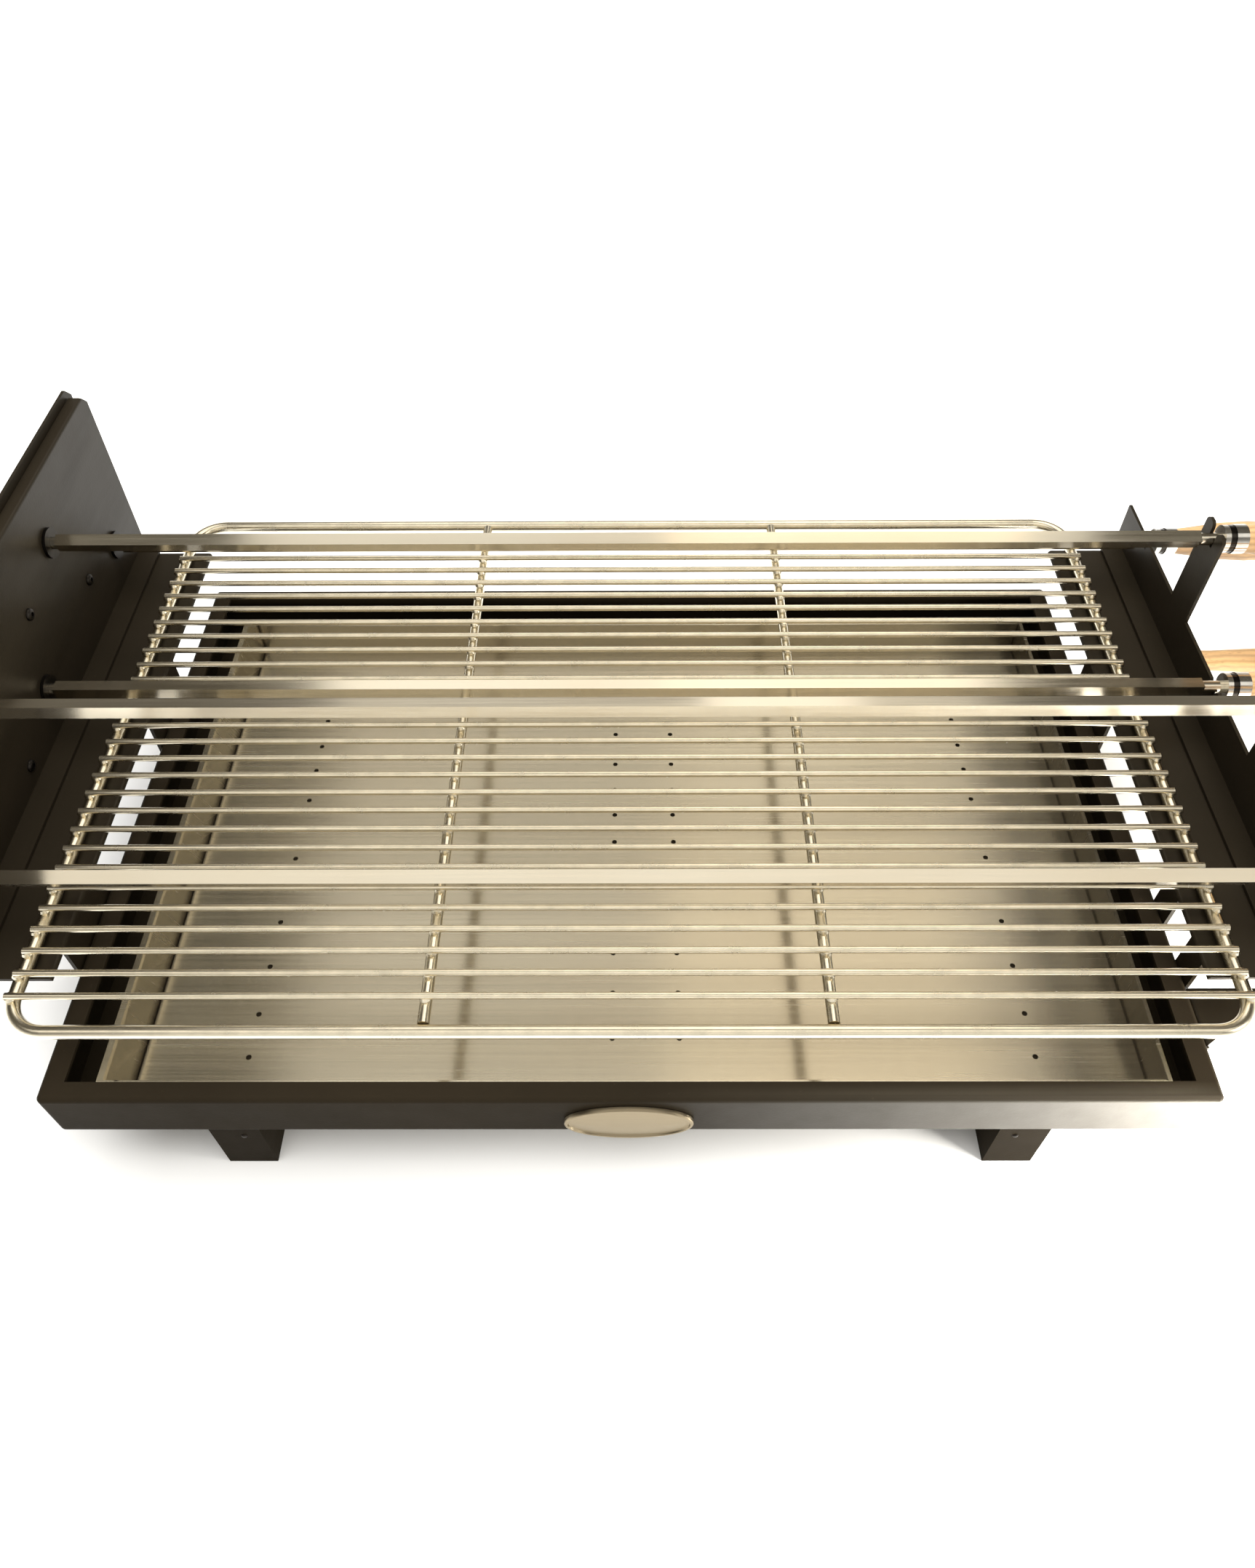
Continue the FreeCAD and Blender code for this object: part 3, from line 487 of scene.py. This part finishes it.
class SPITGRILL_OT_pan(bpy.types.Operator):
    """Give the lift-out pan its brushed steel"""

    bl_idname = "spitgrill.pan"
    bl_label = "Pan"

    def execute(self, context):
        colour = context.scene.spit_grill_colours.pan
        steel = brushed("pan_steel", colour, 0.23, (0.55, 0.46, 0.33), 450.0, (0.010, 1.0, 0.05),
                        contrast=0.17, smear=0.94, metal=0.97)
        low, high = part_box("pan")
        side = steel.axis("X")
        hem_edge = [low[0] + place for place in HEM_EDGE]
        hem = steel.between(side, *hem_edge, 0.85, 0.0)
        coat = steel.blend(hem, steel.colour, shade(colour, 0.93))
        # A painted shade line darkens each fold of the side walls
        for end, (inset, half) in zip((low[0], high[0]), SHADED_FOLDS):
            coat = steel.blend(steel.line(side, end + inset, half, 1.0), coat, FOLD_SHADE)
        # Painted shade darkens the right wall
        wall = steel.between(side, *(high[0] + place for place in WALL_EDGE), 0.0, 0.25)
        coat = steel.blend(wall, coat, WALL_SHADE_COLOUR)
        # Painted shade darkens the strip of floor before the right wall
        dim = steel.between(side, *(MIDDLE.x + place for place in SHADED_STRIP_EDGE), 0.0, 0.45)
        coat = steel.blend(dim, coat, shade(colour, 0.22))
        # A painted highlight along the top edge of the front wall
        front = steel.between(steel.axis("Y"), *(low[1] + place for place in LIP_BACK), 0.8, 0.0)
        top = steel.between(steel.axis("Z"), *(high[2] + place for place in LIP_TOP), 0.0, 1.0)
        steel.feed("Base Color", steel.blend(steel.product(front, top), coat, PAINTED_LIP_HIGHLIGHT))
        # The hem has no brush lines
        grooves = steel.product(steel.lines, steel.between(side, *hem_edge, 0.0, 1.0))
        steel.feed("Normal", steel.relief(grooves, 0.030, 0.0002))
        paint_node("pan", steel.material)
        return {"FINISHED"}


class SPITGRILL_OT_grate(bpy.types.Operator):
    """Plate the grate and set a weld bead at every crossing"""

    bl_idname = "spitgrill.grate"
    bl_label = "Grate"

    def execute(self, context):
        scene = context.scene
        chrome = plated("grate_plating", scene.spit_grill_colours.wire, 0.20).material
        for name in GRATE:
            paint_node(name, chrome)
        spots = []
        for bar_x in self.bars():
            for wire_y, wire_z in self.wires():
                spots.append(((bar_x, wire_y, wire_z - WELD_SINK), (0.0, 0.0, 1.0)))
        radius = scene.spit_grill_sizes.weld_radius
        beads = repeat("grate_welds", spots, turned("weld_bead", WELD_PROFILE, 10), chrome, radius)
        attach(beads, "grate")
        return {"FINISHED"}

    def bars(self):
        """Middle of each bar that the wires are welded to."""
        low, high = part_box("grate_frame")
        cross_low, cross_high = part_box("grate_cross_bars")
        return (low[0] + FRAME_RADIUS, cross_low[0] + CROSS_RADIUS,
                cross_high[0] - CROSS_RADIUS, high[0] - FRAME_RADIUS)

    def wires(self):
        """Depth and height of each thin wire."""
        low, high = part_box("grate_wires")
        radius = (high[2] - low[2]) / 2
        step = (high[1] - low[1] - 2 * radius) / (WIRE_COUNT - 1)
        return [(low[1] + radius + step * index, low[2] + radius) for index in range(WIRE_COUNT)]


class SPITGRILL_OT_spits(bpy.types.Operator):
    """Finish the bars, collars, ferrules and wooden handles of the five spits"""

    bl_idname = "spitgrill.spits"
    bl_label = "Spits"

    def execute(self, context):
        colours = context.scene.spit_grill_colours
        steel = brushed("spit_steel", colours.spit, 0.17, (0.62, 0.47, 0.28), 420.0, ALONG_X)
        ferrule = plated("ferrule_plating", (0.80, 0.78, 0.73), 0.12)
        collar = plated("collar_steel", (0.80, 0.77, 0.70), 0.16)
        # The outer half of each collar is a dark ring
        middle = middle_of("spit_1_collar")[0]
        ring = collar.between(collar.axis("X"), middle - 0.0002, middle + 0.0002, 0.0, 1.0)
        collar.feed("Base Color", collar.blend(ring, collar.colour, (0.045, 0.040, 0.034)))
        for spit in SPITS:
            paint_node(spit + "_bar", steel.material)
            paint_node(spit + "_ferrule", ferrule.material)
            paint_node(spit + "_collar", collar.material)
            handle = spit + "_handle"
            paint_node(handle, turned_wood(spit + "_beech", colours.wood, handle))
        paint_node("side_grip", turned_wood("grip_beech", colours.wood, "side_grip"))
        paint_node("bushings", plated("bushing_black", (0.030, 0.027, 0.024), 0.35).material)
        return {"FINISHED"}


class SPITGRILL_OT_screws(bpy.types.Operator):
    """Set the button-head screws of the tower and the rail tabs, and the rivets of the feet"""

    bl_idname = "spitgrill.screws"
    bl_label = "Screws"

    def execute(self, context):
        radius = context.scene.spit_grill_sizes.screw_radius
        dark = plated("screw_black", (0.035, 0.031, 0.027), 0.35).material
        head = turned("button_head", SCREW_PROFILE, 24, self.socket)
        rivet = turned("rivet_head", RIVET_PROFILE, 16)
        for piece in (repeat("button_screws", self.tower() + self.tabs(), head, dark, radius),
                      repeat("foot_rivets", self.feet(), rivet, dark, RIVET_SHARE * radius)):
            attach(piece, "root")
        return {"FINISHED"}

    def socket(self, index, angle):
        """The inner rings are a hexagon, the others are round."""
        if index < len(SCREW_PROFILE) - SOCKET_RINGS:
            return 1.0
        side = math.radians(60)
        return math.cos(side / 2) / math.cos(angle % side - side / 2)

    def tower(self):
        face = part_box("bushings")[1][0] - BUSHING_PROUD
        return [((face, MIDDLE.y + depth, height), (1.0, 0.0, 0.0)) for depth, height in TOWER_SCREWS]

    def tabs(self):
        low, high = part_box("firebox")
        spots = []
        for side, face, depths in ((-1.0, low[0] - TAB_PROUD, LEFT_TAB_SCREWS),
                                   (1.0, high[0] + TAB_PROUD, RIGHT_TAB_SCREWS)):
            for depth in depths:
                spots.append(((face, MIDDLE.y + depth, TAB_SCREW_HEIGHT), (side, 0.0, 0.0)))
        return spots

    def feet(self):
        spots = []
        for name in FEET:
            low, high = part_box(name)
            middle = middle_of(name)
            side = math.copysign(1.0, middle[1] - MIDDLE.y)
            face = low[1] if side < 0 else high[1]
            inward = math.copysign(RIVET_INWARD, MIDDLE.x - middle[0])
            spots.append(((middle[0] + inward, face, high[2] - RIVET_DROP), (0.0, side, 0.0)))
        return spots


class SPITGRILL_OT_badge(bpy.types.Operator):
    """Make the bare, domed oval plate with its raised rim"""

    bl_idname = "spitgrill.badge"
    bl_label = "Oval plate"

    def execute(self, context):
        scene = context.scene
        sizes = scene.spit_grill_sizes
        low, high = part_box("badge")
        middle = middle_of("badge")
        half_w, half_h = (high[0] - low[0]) / 2, (high[2] - low[2]) / 2
        back, rise = high[1], high[1] - low[1]
        rim, bed, steps = sizes.badge_rim, rise * 0.56, 9
        rings = [(0.0, 0.0), (0.0, rise * 0.55), (0.0004, rise * 0.85), (0.0011, rise),
                 (rim * 0.8, rise * 0.96), (rim, rise * 0.62), (rim * 1.25, bed)]
        for part in range(1, steps):
            inset = rim * 1.25 + (half_h - rim * 1.25) * part / steps
            swell = 1 - (1 - part / steps) ** 2
            rings.append((inset, bed + sizes.badge_dome * 0.62 * swell))
        mesh = self.oval(rings, half_w, half_h, 96)
        mesh.transform(Matrix.Translation((middle[0], back, middle[2])))
        smooth(mesh, 40.0)
        satin = brushed("badge_satin", scene.spit_grill_colours.badge, 0.30, (0.36, 0.28, 0.18),
                        700.0, ALONG_X).material
        plate = new_piece("oval_plate", mesh, satin)
        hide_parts("badge")
        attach(plate, "root")
        return {"FINISHED"}

    def oval(self, rings, half_w, half_h, sides):
        """A closed oval plate that faces minus Y. Each ring has an inset and a height."""
        shape = bmesh.new()
        loops = []
        for inset, height in rings:
            loop = []
            for side in range(sides):
                angle = math.tau * side / sides
                across = (half_w - inset) * math.cos(angle)
                up = (half_h - inset) * math.sin(angle)
                loop.append(shape.verts.new((across, -height, up)))
            loops.append(loop)
        for first, second in zip(loops, loops[1:]):
            for side in range(sides):
                after = (side + 1) % sides
                shape.faces.new((first[side], first[after], second[after], second[side]))
        shape.faces.new(loops[0])
        shape.faces.new(loops[-1])
        bmesh.ops.recalc_face_normals(shape, faces=shape.faces)
        mesh = bpy.data.meshes.new("oval_plate")
        shape.to_mesh(mesh)
        shape.free()
        return mesh


class SPITGRILL_OT_stage(bpy.types.Operator):
    """Set the pale floor, the soft lights and the camera"""

    bl_idname = "spitgrill.stage"
    bl_label = "Stage"

    def execute(self, context):
        scene = context.scene
        self.floor(scene)
        self.sky(scene)
        for name, values in SOFTBOXES.items():
            self.softbox(scene, name, *values)
        self.daylight(scene)
        self.camera(scene)
        scene.view_settings.view_transform = "Standard"
        return {"FINISHED"}

    def floor(self, scene):
        shape = bmesh.new()
        bmesh.ops.create_grid(shape, x_segments=1, y_segments=1, size=8.0)
        mesh = bpy.data.meshes.new("floor")
        shape.to_mesh(mesh)
        shape.free()
        finish = Finish("pale_floor", {"Roughness": 0.85})
        tone = finish.noise(finish.place, 1.2, 2.0)
        colour = scene.spit_grill_colours.floor
        finish.feed("Base Color", finish.blend(tone, shade(colour, 0.99), shade(colour, 1.0)))
        floor = new_piece("floor", mesh, finish.material)

    def sky(self, scene):
        """A room that is bright at the horizon and dim overhead."""
        world = bpy.data.worlds.new("studio")
        world.use_nodes = True
        nodes, links = world.node_tree.nodes, world.node_tree.links
        background = nodes["Background"]
        place = nodes.new("ShaderNodeTexCoord")
        axes = nodes.new("ShaderNodeSeparateXYZ")
        ramp = nodes.new("ShaderNodeValToRGB")
        links.new(place.outputs["Generated"], axes.inputs["Vector"])
        links.new(axes.outputs["Z"], ramp.inputs["Fac"])
        links.new(ramp.outputs["Color"], background.inputs["Color"])
        elements = ramp.color_ramp.elements
        while len(elements) < len(SKY):
            elements.new(0.5)
        for element, (position, colour) in zip(elements, SKY):
            element.position = position
            element.color = (*colour, 1.0)
        background.inputs["Strength"].default_value = 1.0
        scene.world = world

    def softbox(self, scene, name, place, aim, size, power, tint):
        data = bpy.data.lights.new(name, "AREA")
        data.shape = "RECTANGLE"
        data.size, data.size_y = size
        data.energy = power
        data.color = tint
        light = bpy.data.objects.new(name, data)
        scene.collection.objects.link(light)
        away = Vector(place) - Vector(aim)
        turn = away.to_track_quat("Z", "Y").to_matrix().to_4x4()
        light.matrix_world = Matrix.Translation(place) @ turn
        light.visible_camera = False
        light.visible_glossy = name not in UNMIRRORED

    def daylight(self, scene):
        """An even light from above that brings the floor to white and leaves no mirror image."""
        data = bpy.data.lights.new("daylight", "SUN")
        data.energy = 4.6
        data.angle = math.radians(80)
        light = bpy.data.objects.new("daylight", data)
        light.matrix_world = Matrix.Rotation(math.radians(-12), 4, "X")
        light.visible_glossy = False
        scene.collection.objects.link(light)

    def camera(self, scene):
        flat, down = math.cos(CAMERA_PITCH), math.sin(CAMERA_PITCH)
        ahead = Vector((math.sin(CAMERA_YAW) * flat, math.cos(CAMERA_YAW) * flat, -down))
        right = Vector((math.cos(CAMERA_YAW), -math.sin(CAMERA_YAW), 0.0))
        up = right.cross(ahead)
        side = right * math.cos(CAMERA_ROLL) + up * math.sin(CAMERA_ROLL)
        top = up * math.cos(CAMERA_ROLL) - right * math.sin(CAMERA_ROLL)
        data = bpy.data.cameras.new("camera")
        data.lens = SENSOR * FOCAL_PIXELS / PHOTO_PIXELS
        data.sensor_width = SENSOR
        data.clip_start = 0.01
        camera = bpy.data.objects.new("camera", data)
        turn = Matrix((side, top, -ahead)).transposed().to_4x4()
        camera.matrix_world = Matrix.Translation(CAMERA_PLACE) @ turn
        scene.collection.objects.link(camera)
        scene.camera = camera


class SPITGRILL_PT_panel(bpy.types.Panel):
    """Panel in the 3D view's sidebar"""

    bl_idname = "SPITGRILL_PT_panel"
    bl_label = "Spit Grill"
    bl_space_type = "VIEW_3D"
    bl_region_type = "UI"
    bl_category = "Spit Grill"

    def draw(self, context):
        layout = self.layout
        for group in (context.scene.spit_grill_sizes, context.scene.spit_grill_colours):
            for name in group.__annotations__:
                layout.prop(group, name)
        for operator in OPERATORS:
            layout.operator(operator.bl_idname)


OPERATORS = (
    SPITGRILL_OT_sheet_metal,
    SPITGRILL_OT_pan,
    SPITGRILL_OT_grate,
    SPITGRILL_OT_spits,
    SPITGRILL_OT_screws,
    SPITGRILL_OT_badge,
    SPITGRILL_OT_stage,
)
CLASSES = (SpitGrillSizes, SpitGrillColours, *OPERATORS, SPITGRILL_PT_panel)


def register():
    for cls in CLASSES:
        bpy.utils.register_class(cls)
    bpy.types.Scene.spit_grill_sizes = bpy.props.PointerProperty(type=SpitGrillSizes)
    bpy.types.Scene.spit_grill_colours = bpy.props.PointerProperty(type=SpitGrillColours)


def unregister():
    del bpy.types.Scene.spit_grill_colours
    del bpy.types.Scene.spit_grill_sizes
    for cls in reversed(CLASSES):
        bpy.utils.unregister_class(cls)


def main():
    register()
    for operator in OPERATORS:
        family, name = operator.bl_idname.split(".")
        getattr(getattr(bpy.ops, family), name)()


if __name__ == "__main__":
    main()
